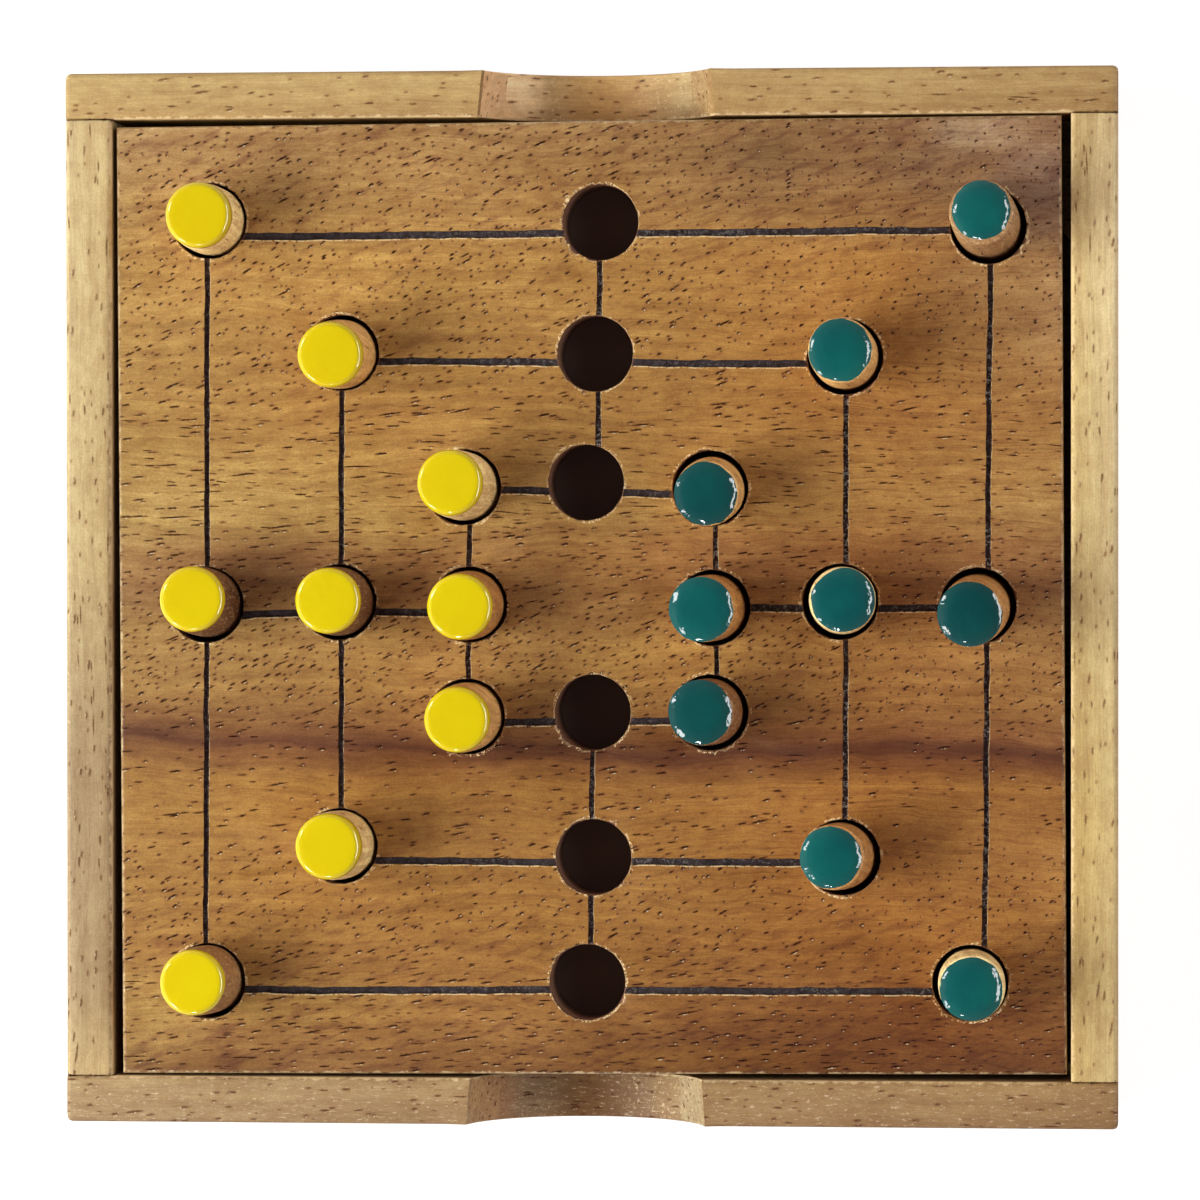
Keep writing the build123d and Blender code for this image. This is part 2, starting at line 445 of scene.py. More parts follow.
def groove_lip_highlight(look):
    """A painted highlight along the lower lip of each groove, broken into pale specks."""
    return look.between(look.noise(look.place, 1.7, 4.0, 0.75), 0.43, 0.53, 0.0, 0.7)


def rim_wear(look):
    """Pale splinters round the mouths of the holes, more of them where the wood broke out."""
    crumbs = look.noise(look.place, 0.33, 2.0) * 0.5 + look.noise(look.place, 2.4, 3.0, 0.75)
    splinters = look.between(crumbs, 0.78, 0.86, 0.0, 0.95)
    return look.most(splinters, look.between(look.facing["Z"], 0.75, 0.97, 0.45, 0.0))


def dowel_wear(look):
    """Pale fibres torn up on the side of a dowel."""
    fibres = look.noise(look.vector(look.x * 2.6, look.y * 2.6, look.z * 0.9), 1.0, 3.0, 0.7)
    return look.between(fibres, 0.52, 0.66, 0.0, 0.5)


# The board's wood by the distance from its middle: its bands, then the slope, the length share
# and the number of its vessels
board_bands = [
    (-64, srgb(120, 76, 34)), (-56, srgb(147, 98, 45)), (-49, srgb(156, 106, 49)),
    (-42, srgb(156, 106, 47)), (-33, srgb(160, 110, 51)), (-24.5, srgb(152, 102, 44)),
    (-21.5, srgb(121, 73, 33)), (-19.5, srgb(87, 45, 23)), (-17.6, srgb(126, 79, 39)),
    (-13, srgb(152, 106, 52)), (-5, srgb(164, 119, 62)), (1, srgb(143, 97, 52)),
    (6, srgb(153, 106, 57)), (11, srgb(172, 130, 69)), (24, srgb(162, 115, 56)),
    (44, srgb(176, 128, 65)), (64, srgb(168, 125, 77)),
]
board_vessels = [
    (-64, (0.06, 1.6, 0.5)), (-50, (0.12, 1.5, 0.5)), (-46, (0.45, 0.8, 0.55)),
    (-36, (0.55, 0.7, 0.6)), (-32, (0.15, 1.2, 0.25)), (-18, (0.1, 1.4, 0.3)),
    (-14, (0.5, 0.9, 0.8)), (-3, (0.45, 0.9, 0.8)), (3, (0.15, 1.2, 0.5)),
    (12, (-0.05, 1.8, 0.4)), (23, (-0.05, 1.7, 0.35)), (28, (0.3, 0.9, 0.5)),
    (47, (0.6, 0.62, 0.66)), (62, (0.35, 0.8, 0.6)),
]

# Tones of the board along its grain
board_tones = [
    (-64, (1.01, 1.15, 1.42)), (-56, (0.97, 1.06, 1.22)), (-30, (0.99, 1.03, 1.08)),
    (8, (0.89, 0.88, 0.9)), (40, (0.92, 0.82, 0.78)), (62, (1.0, 0.98, 1.16)),
]

# Middle, size, colour and share of the stains
board_stains = [
    ((62, 54), (22, 28), (0.72, 0.77, 1.1), 0.85),
    ((40, -60), (44, 10), (0.58, 0.46, 0.38), 0.95),
    ((14, 62), (34, 8), (0.8, 0.8, 0.76), 0.6),
    ((-44, 5), (14, 4), (0.72, 0.62, 0.65), 0.8),
    ((-1, 4), (17, 5), (1.35, 1.45, 1.35), 0.8),
    ((-44, -19.5), (14, 3), (1.35, 1.42, 1.3), 0.8),
    ((-28, -59), (24, 7), (1.2, 1.28, 1.5), 0.8),
    ((64, 34), (5, 16), (1.3, 1.36, 1.5), 0.5),
    ((10, -8), (12, 6), (1.3, 1.36, 1.25), 0.7),
    ((34, 57), (26, 10), (0.64, 0.68, 0.85), 0.95),
    ((51.5, 61.6), (6.5, 2.8), (1.5, 1.8, 2.05), 1.0),
    ((59, 52), (7, 8), (1.03, 1.12, 1.55), 0.9),
    ((-59, -56), (8, 7), (1.3, 1.55, 1.7), 1.0),
    ((-40, -54), (18, 3.5), (1.15, 1.3, 1.25), 0.9),
    ((26, -47), (26, 4), (0.82, 0.76, 0.66), 0.9),
    ((-36, 62), (26, 4), (0.86, 0.82, 0.76), 0.9),
    ((3, 56), (24, 6), (0.88, 0.84, 0.78), 0.8),
    ((24, -61.5), (26, 3), (1.25, 1.36, 1.12), 0.9),
]
# Painted light and shade in the scoops of the back and front walls: the left slopes, which face away
# from the main lamp, painted lighter, and a dark painted shadow in the bottom of the front scoop beside
# the board's edge
back_stains = [
    ((-13.5, 67), (6.4, 12), (2.5, 2.75, 4.0), 1.0),
    ((2, 67), (9, 12), (1.36, 1.2, 1.12), 0.9),
    ((14, 67), (3.5, 8), (1.02, 1.13, 1.45), 0.8),
]
front_stains = [
    ((-13.5, -67), (3.5, 7), (1.36, 1.08, 0.95), 0.9),
    ((1.5, -67), (9, 8), (0.44, 0.29, 0.08), 1.0),
    ((13.5, -67), (3.5, 7), (0.94, 1.08, 1.3), 0.8),
]

# The board's wood, the same wood carrying a painted highlight along the lower lip of each groove, and
# the wood round the holes
board_wood, groove_highlight_wood, hole_lip = (
    wood(name, "X", board_bands, board_top, board_vessels, wear_and_highlight=wear_and_highlight, tones=board_tones,
         stains=board_stains, threads=(0.12, 0.5), figure=0.8, far_length=0.6)
    for name, wear_and_highlight in (("board_wood", board_edge_wear_and_highlight), ("groove_highlight_wood", groove_lip_highlight), ("hole_lip", rim_wear)))


def wall_wood(wall, grain, bands, dark, tones, flecks, **settings):
    """The wood of a wall, calmer and duller than the board's."""
    return wood(wall + "_wall_wood", grain, bands, rim, dark=dark, tones=tones, flecks=flecks,
                wear_and_highlight=wall_edge_wear_and_highlight, dirt=joint_dirt, waviness=0.8, contrast=0.6, gloss=0.6, **settings)


left_wood = wall_wood(
    "left", "Y", [(-70, srgb(214, 182, 132)), (-64, srgb(205, 170, 118))], srgb(84, 52, 32),
    [(-68, (0.76, 0.75, 0.73)), (-50, (0.55, 0.53, 0.56)), (-20, (0.52, 0.5, 0.53)),
     (8, (0.77, 0.8, 0.81)), (70, (0.8, 0.83, 0.86))],
    0.12, longest=1.1, depth=0.7)
right_wood = wall_wood(
    "right", "Y", [(64, srgb(206, 170, 112)), (70, srgb(226, 196, 148))], srgb(96, 60, 36),
    [(-68, (0.77, 0.75, 0.66)), (-30, (0.83, 0.81, 0.68)), (0, (0.78, 0.79, 0.75)),
     (40, (1.0, 1.05, 1.1)), (70, (0.8, 0.8, 0.8))],
    0.12, longest=1.1, depth=0.7)
back_wood = wall_wood(
    "back", "X", [(64, srgb(184, 142, 88)), (70, srgb(202, 164, 108))], srgb(78, 46, 30),
    [(-70, (0.84, 0.89, 0.9)), (0, (0.83, 0.85, 0.84)), (70, (0.75, 0.74, 0.74))],
    0.15, depth=0.75, stains=back_stains)
front_wood = wall_wood(
    "front", "X", [(-70, srgb(168, 130, 90)), (-64, srgb(180, 143, 98))], srgb(78, 46, 30),
    [(-70, (0.79, 0.83, 0.87)), (0, (0.76, 0.75, 0.72)), (70, (0.67, 0.61, 0.54))],
    0.5, depth=0.75, stains=front_stains)
inside_wood = wood("inside_wood", "X", [(-70, srgb(196, 160, 112)), (70, srgb(204, 168, 118))], 0,
                   gloss=0.6, contrast=0.7)

# Dowels: the tones of the bare wood, and which peg has which
dowel_tones = {
    tone: wood("dowel_" + tone, "Z", [(-70, shade), (70, shade)], 0, sparse_vessels, longest=0.8,
               dark=pore, gloss=0.55, contrast=1.3, wear_and_highlight=wear_and_highlight)
    for tone, shade, pore, wear_and_highlight in (
        ("cream", srgb(246, 216, 156), srgb(176, 128, 74), None),
        ("tan", srgb(224, 176, 112), srgb(130, 84, 46), None),
        ("amber", srgb(184, 128, 68), srgb(110, 66, 36), dowel_wear),
        ("dusty", srgb(162, 118, 76), srgb(90, 58, 38), dowel_wear),
        ("brown", srgb(140, 90, 50), srgb(74, 44, 28), dowel_wear),
        ("dark", srgb(108, 68, 40), srgb(44, 26, 18), dowel_wear),
    )
}
yellow_tones = ["cream", "tan", "cream", "dark", "dark", "amber", "tan", "cream", "dusty"]
green_tones = ["dusty", "tan", "tan", "amber", "cream", "amber", "brown", "amber", "cream"]


# Stain and paint

def ink_look(name, dark, light, speckled):
    """Dark stain in the engraved lines, speckled where the wood shows through."""
    look = Look(name)
    colour = look.ramp(look.noise(look.place, 0.9, 3.0, 0.7), [(0.35, dark), (0.65, light)])
    specks = look.noise(look.place, 2.0, 3.0, 0.8)
    patches = look.between(look.noise(look.place, 0.09, 2.0), 0.35, 0.55, 0.3, 1.0)
    patches = patches * look.between(look.x, -45, 5, 0.25, 1.0)
    bare = look.between(specks, 0.54, 0.6) * patches * speckled
    look.put("Base Color", look.mix(bare, colour, srgb(226, 214, 200)))
    look.put("Roughness", 0.6)
    look.put("Specular IOR Level", 0.1)
    look.bump(specks * 0.08)
    return look.material


def bore_look():
    """The wall of a drilled hole, with the rings that the drill left, and painted light and shade down
    its depth.
    """
    look = Look("drilled_hole_painted_shading")
    drilled = look.noise(look.vector(look.x * 0.4, look.y * 0.4, look.z * 4.0), 1.0, 3.0, 0.7)
    depth = (drilled * 2.0 + (board_top - look.z)) / hole_depth
    # Painted light and shade by depth: pale at the mouth, a dark band of painted shade just below it,
    # and lighter again deeper in
    look.put("Base Color", look.ramp(depth, [
        (0.05, srgb(150, 92, 50)), (0.13, srgb(104, 62, 38)), (0.3, srgb(140, 96, 68)),
        (0.6, srgb(136, 96, 72)), (0.95, srgb(112, 90, 80)),
    ]))
    look.put("Roughness", 0.7)
    look.bump(drilled * 0.12)
    return look.material


def enamel_look(name, thin, thick, roughness, lumps, shine):
    """Glossy paint that pooled while it dried."""
    look = Look(name)
    cloud = look.noise(look.place, 0.07, 3.0, 0.6)
    look.put("Base Color", look.ramp(cloud, [(0.35, thin), (0.65, thick)]))
    look.put("Roughness", look.noise(look.place, 1.4, 3.0, 0.6) * 0.04 + roughness)
    look.put("Specular IOR Level", shine)
    look.bump(look.noise(look.place, 0.9, 2.0) * lumps)
    return look.material


across_ink = ink_look("across_ink", srgb(40, 28, 26), srgb(64, 52, 54), 0.12)
# The upright lines' stain is painted lighter than the across lines', painted light against the shade
# that falls into their narrower grooves
upright_ink_painted_lighter = ink_look("upright_ink_painted_lighter", srgb(58, 40, 36), srgb(88, 68, 66), 0.7)
bore_painted_shading = bore_look()
yellow_enamel = enamel_look("yellow_enamel", srgb(214, 188, 0), srgb(210, 180, 0), 0.06, 0.04, 0.8)
green_enamel = enamel_look("green_enamel", srgb(14, 94, 88), srgb(6, 76, 76), 0.05, 0.09, 0.42)
deep_enamel = enamel_look("deep_green_enamel", srgb(10, 72, 70), srgb(5, 60, 61), 0.05, 0.09, 0.42)
deep_green_pegs = (3, 4, 7)

# How far the yellow paint runs down each peg, and the radius and shift of each green puddle
yellow_skirts = [3.6, 1.7, 1.6, 0.9, 1.8, 0.9, 1.5, 2.8, 0.9]
green_puddles = [
    (3.95, -0.05, 0.25), (4.2, 0.0, 0.0), (4.2, -0.12, 0.0),
    (4.28, -0.1, 0.0), (4.22, 0.03, -0.05), (4.28, -0.1, 0.0),
    (4.25, -0.12, 0.05), (4.1, -0.15, 0.03), (4.22, -0.08, -0.1),
]


# Meshes

weld_distance = 1e-7
quarter_turn = math.pi / 2


def make_piece(name, points, faces, materials, body, slot, replaced=(), kinds=(), crease=38):
    """A mesh piece from points in millimetres, which rides on a body of the frame."""
    mesh = bpy.data.meshes.new(name)
    mesh.from_pydata([Vector(point) * mm for point in points], [], faces)
    for material in materials:
        mesh.materials.append(material)
    if kinds:
        mesh.polygons.foreach_set("material_index", kinds)
    shape = bmesh.new()
    shape.from_mesh(mesh)
    bmesh.ops.remove_doubles(shape, verts=shape.verts, dist=weld_distance)
    bmesh.ops.recalc_face_normals(shape, faces=shape.faces)
    shape.to_mesh(mesh)
    shape.free()
    mesh.shade_smooth()
    mesh.set_sharp_from_angle(angle=math.radians(crease))
    piece = bpy.data.objects.new(name, mesh)
    bpy.context.scene.collection.objects.link(piece)
    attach(piece, body)
    if replaced:
        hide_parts(*replaced)


def skin(count, size):
    """Faces between rings of points, and one that closes each end."""
    faces = []
    for first in range(0, (count - 1) * size, size):
        for step in range(size):
            after = (step + 1) % size
            faces.append((first + step, first + after, first + size + after, first + size + step))
    return faces + [tuple(range(size)), tuple(range((count - 1) * size, count * size))]


def rounding(size, angles):
    """How far in from the side and below the top a rounded edge lies, from the side to the top."""
    return [(size * (1 - math.cos(angle)), size * (1 - math.sin(angle))) for angle in angles]


def jitter(place, seed, scale, size):
    """A small wander, the same at each run, for a place along an edge."""
    return size * noise.noise(Vector((place * scale, seed * 7.31, seed * 1.7)))


def circled(angle, size, height, x=0.0, y=0.0):
    """Noise at a place on a circle, so that it meets itself after a turn."""
    return noise.noise(Vector((math.cos(angle) * size + x, math.sin(angle) * size + y, height)))


# Walls

wall_step = 2.0
wall_middle_height = 16.0
wall_top_steps = 6
round_steps = 4
wall_end_marks = (0.0, 0.1, 0.3, 0.7)  # distances from a wall's end, where its edge is rounded
wall_end_round = 0.7
joint_end_round = 0.2
wall_round_reach = 2.0  # how much of the thickness the rounding of a wall's ends takes in
scoop_margin = 1.2  # how far beyond the scoop the straight run begins
scoop_steps = 20
scoop_cover = 1.0  # how far below the scoop the rows of a wall's sides stay


def wall_stations(half_run, scoop):
    """Places along a wall: distances from its middle, and shares of half the scoop's arc."""
    count = int(2 * half_run / wall_step)
    marks = {round(way * (half_run - edge), 4) for edge in wall_end_marks for way in (-1, 1)}
    marks |= {-half_run + 2 * half_run * index / count for index in range(1, count)}
    marks = sorted(marks)
    if scoop is None:
        return [("run", mark) for mark in marks]
    radius, _, depth, middle = scoop
    reach = math.sqrt(radius ** 2 - (radius - depth) ** 2) + scoop_margin
    before = [("run", mark) for mark in marks if mark < middle - reach]
    after = [("run", mark) for mark in marks if mark > middle + reach]
    arc = [("arc", step / scoop_steps) for step in range(-scoop_steps, scoop_steps + 1)]
    return before + arc + after


def wall_section(edge):
    """Points round a wall: the zone and the distance from the inner side, then the height in the
    low zone or the drop from the rim in the top one."""
    rounded = rounding(edge, [quarter_turn * step / round_steps for step in range(round_steps + 1)])
    flat = wall_thickness - 2 * edge
    section = [("low", 0.0, rabbet_height), ("low", 0.0, wall_middle_height)]
    section += [("top", inset, drop) for inset, drop in rounded]
    section += [("top", edge + flat * step / wall_top_steps, 0.0) for step in range(1, wall_top_steps)]
    section += [("top", wall_thickness - drop, inset) for inset, drop in rounded]
    section += [("low", wall_thickness, wall_middle_height), ("low", wall_thickness, 0.0)]
    return section + [("low", rabbet_depth, 0.0), ("low", rabbet_depth, rabbet_height)]


def build_wall(name, side, along_x, half_run, scoop, material, end_round):
    """A wall lofted from end to end, with rounded top edges, a rabbet and a scoop."""
    inner = inner_half_depth if along_x else inner_half_length
    seed = len(name)

    def scooped(share, zone, across, drop):
        """A point of the section where the scoop cuts it."""
        radius, flare, depth, middle = scoop
        here = radius - flare * (1 - across / wall_thickness)
        centre_height = rim - depth + radius
        angle = share * math.acos((centre_height - rim) / here)
        rough = here + jitter(angle * 9, seed + across * 0.4, 1.1, 0.06)
        if zone == "top":
            height = min(rim, centre_height - (rough + drop) * math.cos(angle))
        else:
            height = min(drop, centre_height - here * math.cos(angle) - scoop_cover)
        return middle + rough * math.sin(angle), across, height

    def straight(run, zone, across, drop):
        """A point of the section elsewhere, where the rabbet stops and the ends are rounded."""
        height = drop
        if zone == "top":
            height = rim - drop + (jitter(run, seed + across, 0.25, 0.03) - 0.03)
        end_gap = max(0.0, half_run - abs(run))
        if end_gap < end_round:
            lift = end_round - math.sqrt(end_round ** 2 - (end_round - end_gap) ** 2)
            if zone == "top":
                height -= 0.5 * lift
            if along_x and across > wall_thickness - wall_round_reach:
                across -= lift
        if abs(run) > inner_half_length + rabbet_depth and across == rabbet_depth:
            across = 0.0
        return run, across, height

    points = []
    stations = wall_stations(half_run, scoop)
    for kind, value in stations:
        section = wall_section(scoop_edge_round if kind == "arc" else wall_edge_round)
        place = scooped if kind == "arc" else straight
        for row in section:
            run, across, height = place(value, *row)
            level = side * (inner + across)
            points.append((run, level, height) if along_x else (level, run, height))
    faces = skin(len(stations), len(section))
    make_piece(name + "_piece", points, faces, [material], "box", name, [name])


side_half_run = inner_half_depth - joint_crack
build_wall("back_wall", 1, True, half_length, back_scoop, back_wood, wall_end_round)
build_wall("front_wall", -1, True, half_length, front_scoop, front_wood, wall_end_round)
build_wall("left_wall", -1, False, side_half_run, None, left_wood, joint_end_round)
build_wall("right_wall", 1, False, side_half_run, None, right_wood, joint_end_round)


# Game board

edge_spacing = 1.6
groove_spacing = 0.9
mouth_steps = 160
collar_steps = 60
collar_width = 0.4  # how far the paler wood reaches round the hole
lip_drop = 0.16  # how far the broken lip of a hole slopes down
lip_share = 0.45  # how much of the breakout at the mouth is left at the foot of the lip
bore_swell = 0.25  # how much wider a hole is at its bottom
bottom_chamfer = 0.3
mouth_reach = 1.5  # how far from a hole's radius an edge of the flat faces is still its own

# What the faces of the board are made of
board_materials = [board_wood, across_ink, bore_painted_shading, groove_highlight_wood, upright_ink_painted_lighter, hole_lip]
in_wood, in_across_ink, in_bore, in_groove_highlight, in_upright_ink_painted_lighter, in_hole_lip = range(6)


def turned(x, y):
    """A point of the board's own plan, as it lies in the box."""
    return (x * math.cos(board_turn) - y * math.sin(board_turn),
            x * math.sin(board_turn) + y * math.cos(board_turn))


def hole_centres():
    """The middles of the holes, from the faces that make their bottoms in the frame."""
    bottom = board_top - hole_depth
    mesh = frame["nodes"]["game_board"].data
    groups = []
    for face in mesh.polygons:
        corners = [mesh.vertices[index].co / mm for index in face.vertices]
        if any(abs(corner.z - bottom) > 0.01 for corner in corners):
            continue
        keys = {(round(corner.x, 3), round(corner.y, 3)) for corner in corners}
        joined = [group for group in groups if group & keys]
        groups = [group for group in groups if not group & keys]
        groups.append(keys.union(*joined))
    centres = [tuple((min(places) + max(places)) / 2 for places in zip(*group)) for group in groups]
    return sorted(centres, key=lambda centre: (-round(centre[1] / 8), centre[0]))


def mouth_radius(angle, seed):
    """How far the worn and chipped mouth of a hole reaches."""
    rough = 0.35 + max(0.0, circled(angle, 1, seed * 2.3) * 2.2)
    chip = max(0.0, circled(angle, 5, seed * 3.1)) + max(0.0, circled(angle, 14, seed * 5.7)) * 0.8
    return hole_radius + 0.06 + min(0.8, rough * chip)


def collar_radius(angle, seed):
    """How far the paler wood round a hole reaches."""
    return hole_radius + collar_width + jitter(angle, seed, 2.0, 0.3)


def round_outlines(centres, steps, radius):
    """Outlines round the centres, with a radius that changes with the angle."""
    outlines = []
    for seed, (x, y) in enumerate(centres):
        outline = []
        for step in range(steps):
            angle = 2 * math.pi * step / steps
            reach = radius(angle, seed)
            outline.append((x + reach * math.cos(angle), y + reach * math.sin(angle)))
        outlines.append(outline)
    return outlines


def groove_outline(start, end, half_width, seed):
    """The outline of a hand-cut groove, whose sides wander a little."""
    run = Vector(end) - Vector(start)
    along = run.normalized()
    beside = Vector((-along.y, along.x))
    count = int(run.length / groove_spacing)
    sides = {1: [], -1: []}
    for index in range(count + 1):
        place = run.length * index / count
        sway = jitter(place, seed, 0.12, 0.16)
        for side, outline in sides.items():
            reach = half_width + jitter(place, seed + side * 0.37, 0.7, 0.12)
            reach += max(0.0, jitter(place, seed + side * 2.11, 2.2, 0.3) - 0.12)
            outline.append(tuple(Vector(start) + along * place + beside * (side * reach + sway)))
    return sides[-1] + sides[1][::-1]


def line_places():
    """Where the lines meet at each playing point, named by ring, column and row."""
    left = [(ring, -1, 1) for ring in rings]
    left += [(ring, -1, 0) for ring in rings]
    left += [(ring, -1, -1) for ring in reversed(rings)]
    middle = [(ring, 0, 1) for ring in rings]
    middle += [(ring, 0, -1) for ring in reversed(rings)]
    right = [(ring, 1, row) for ring, _, row in left]
    points = left + middle + right
    wanders = left_lines + middle_lines + right_lines
    places = {}
    for (ring, column, row), (wander_x, wander_y) in zip(points, wanders):
        half_x, half_y = square_halves[ring]
        places[ring, column, row] = turned(lines_centre[0] + column * half_x + wander_x,
                                           lines_centre[1] + row * half_y + wander_y)
    return places


def groove_outlines():
    """The sides of the three squares and the four lines that join them, across and upright by turns."""
    places = line_places()
    runs = []
    for ring in rings:
        for side in (-1, 1):
            runs.append(((ring, -1, side), (ring, 1, side), across_line_width))
            runs.append(((ring, side, -1), (ring, side, 1), upright_line_width))
    for side in (-1, 1):
        runs.append(((rings[0], side, 0), (rings[-1], side, 0), across_line_width))
        runs.append(((rings[0], 0, side), (rings[-1], 0, side), upright_line_width))
    return [groove_outline(places[start], places[end], width / 2, seed)
            for seed, (start, end, width) in enumerate(runs, start=1)]


def board_edge():
    """The top face's outline in the board's own plan, with the way out at each point."""
    edge = []
    half_x = board_half_length - board_edge_round
    half_y = board_half_depth - board_edge_round
    corners = [(-half_x, -half_y), (half_x, -half_y), (half_x, half_y), (-half_x, half_y)]
    outward = [(0, -1), (1, 0), (0, 1), (-1, 0)]
    for index, (start, way) in enumerate(zip(corners, outward)):
        end = corners[(index + 1) % 4]
        before = outward[index - 1]
        count = int(math.dist(start, end) / edge_spacing)
        edge.append((*start, way[0] + before[0], way[1] + before[1]))
        for step in range(1, count):
            share = step / count
            x, y = (low + (high - low) * share for low, high in zip(start, end))
            worn = abs(jitter(x + y, index + 1, 0.5, 0.12))
            edge.append((x - way[0] * worn, y - way[1] * worn, *way))
    return edge


def build_board():
    """The board's mesh: a flat top cut by grooves and holes, and the walls that hang from it."""
    holes = hole_centres()
    edge = board_edge()
    grooves = groove_outlines()
    # Copies of the grooves, shifted a little, where the painted highlight along the lower lip of each
    # groove goes
    groove_highlights = [[(x + groove_highlight_shift[0], y + groove_highlight_shift[1]) for x, y in outline] for outline in grooves]
    outlines = [[turned(x, y) for x, y, _, _ in edge], *grooves,
                *round_outlines(holes, mouth_steps, mouth_radius), *groove_highlights,
                *round_outlines(holes, collar_steps, collar_radius)]
    first_hole = 1 + len(grooves)
    first_groove_highlight = first_hole + len(holes)
    first_collar = first_groove_highlight + len(grooves)
    plan = []
    inputs = []
    for outline in outlines:
        inputs.append(list(range(len(plan), len(plan) + len(outline))))
        plan += [Vector(place) for place in outline]
    flat, _, triangles, origins, _, covers = delaunay_2d_cdt(plan, [], inputs, 1, 1e-6, True)

    points = []
    faces = []
    kinds = []
    known = {}
    heights = {"top": board_top, "groove": board_top - line_depth}

    def point(key, place):
        """The number of a point, which is made when it is first asked for."""
        if key not in known:
            known[key] = len(points)
            points.append(place)
        return known[key]

    def flat_point(level, index):
        """A corner of a triangle, on the top or on the bottom of a groove."""
        return point((level, index), (*flat[index], heights[level]))

    def face(corners, kind):
        unique = list(dict.fromkeys(corners))
        if len(unique) > 2:
            faces.append(tuple(unique))
            kinds.append(kind)

    def strip(chains, kind, first_kind):
        """Faces between two chains of points that hang from the top."""
        pairs = list(zip(*chains))
        for step, (upper, lower) in enumerate(zip(pairs, pairs[1:])):
            face([*upper, *lower[::-1]], kind if step else first_kind)

    # The flat faces, and what lies on either side of each of their edges
    sides = {}
    for triangle, cover in zip(triangles, covers):
        if any(first_hole <= index < first_groove_highlight for index in cover):
            continue
        cutting = [index for index in cover if 1 <= index < first_hole]
        last = max(cover, default=0)
        level = "groove" if cutting else "top"
        if cutting:
            # Grooves of the upright lines take the stain that is painted lighter against their shade
            kind = in_upright_ink_painted_lighter if all(index % 2 == 0 for index in cutting) else in_across_ink
        elif last >= first_collar:
            kind = in_hole_lip
        else:
            kind = in_groove_highlight if last >= first_groove_highlight else in_wood
        face([flat_point(level, index) for index in triangle], kind)
        for start, end in zip(triangle, triangle[1:] + triangle[:1]):
            sides.setdefault((min(start, end), max(start, end)), []).append(level)

    # The sides of the grooves and the bores
    bottoms = {}
    rim_edges = []
    bore_rings = [
        ("mouth", hole_radius, hole_mouth),
        ("half", hole_radius + 0.6 * bore_swell, hole_depth / 2),
        ("bottom", hole_radius + bore_swell, hole_depth),
    ]
    for (start, end), levels in sides.items():
        if len(levels) == 2:
            if levels[0] != levels[1]:
                upper = [flat_point("top", index) for index in (start, end)]
                face(upper + [flat_point("groove", index) for index in (end, start)], in_across_ink)
            continue
        level = levels[0]
        middle = (flat[start] + flat[end]) / 2
        x, y = min(holes, key=lambda centre: math.dist(middle, centre))
        if math.dist(middle, (x, y)) >= hole_radius + mouth_reach:
            rim_edges.append((start, end))
            continue
        chains = []
        for index in (start, end):
            way = Vector((flat[index].x - x, flat[index].y - y))
            lip = ("lip", hole_radius + lip_share * (way.length - hole_radius), lip_drop)
            way.normalize()
            chain = [flat_point(level, index)]
            for name, reach, drop in [lip, *bore_rings] if level == "top" else bore_rings:
                place = (x + way.x * reach, y + way.y * reach, board_top - drop)
                chain.append(point((name, index), place))
            chains.append(chain)
            bottoms.setdefault((x, y), {})[index] = (math.atan2(way.y, way.x), chain[-1])
        strip(chains, in_bore, in_hole_lip if level == "top" else in_bore)
    for index in {index for pair in sides for index in pair}:
        if ("groove", index) in known and ("lip", index) in known:
            face([known[(name, index)] for name in ("top", "lip", "mouth", "groove")], in_across_ink)
    for bottom in bottoms.values():
        faces.append(tuple(corner for _, corner in sorted(bottom.values())))
        kinds.append(in_bore)

    # The rounded edge, the outer sides and the underside
    ways = {}
    for index, sources in enumerate(origins):
        for source in sources:
            if source < len(edge):
                ways[index] = Vector(turned(*edge[source][2:]))
    steps = [(math.sin(angle), 1 - math.cos(angle)) for angle in (0.4, 0.8, 1.2, quarter_turn)]
    underneath = {}
    for pair in rim_edges:
        chains = []
        for index in pair:
            way = ways[index]
            inset_x, inset_y = edge[origins[index][0]][:2]
            slack_x = board_half_length - board_edge_round - abs(inset_x)
            slack_y = board_half_depth - board_edge_round - abs(inset_y)
            reach = board_edge_round + max(0.0, min(slack_x, slack_y))
            chain = [flat_point("top", index)]
            hanging = [(reach * out, board_top - board_edge_round * drop) for out, drop in steps]
            hanging.append((reach, board_underside + bottom_chamfer))
            hanging.append((reach - bottom_chamfer, board_underside))
            for number, (out, height) in enumerate(hanging):
                chain.append(point(("side", index, number), (*(flat[index] + way * out), height)))
            underneath[index] = chain[-1]
            chains.append(chain)
        strip(chains, in_wood, in_wood)
    order = sorted(underneath, key=lambda index: origins[index][0])
    faces.append(tuple(underneath[index] for index in order))
    kinds.append(in_wood)
    make_piece("drilled_board", points, faces, board_materials, "board", "game_board", ["game_board"],
               kinds)


build_board()


# Pegs

axis_gap = 0.3  # the profiles of the pegs stop short of the axis, and a flat face closes them
enamel_coat = 0.04
enamel_crease = 80
yellow_shoulder = 0.8
green_thickness = 0.8


def peg_frame(node):
    """Turns a peg's own frame, with its head in the plane z = 0, into the frame of the part."""
    axis = Vector(joints[node]["axis"]).normalized()
    places = [vertex.co / mm for vertex in frame["nodes"][node].data.vertices]
    head = max(place.dot(axis) for place in places)
    across = Vector((1, 0, 0)).cross(axis).normalized()
    beside = across.cross(axis).normalized()
    crown = [place for place in places if place.dot(axis) > head - 0.001]
    middle = axis * head
    for way in (across, beside):
        spread = [place.dot(way) for place in crown]
        middle += way * (min(spread) + max(spread)) / 2
    turn = axis.to_track_quat("Z", "Y").to_matrix().to_4x4()
    return Matrix.Translation(middle) @ turn


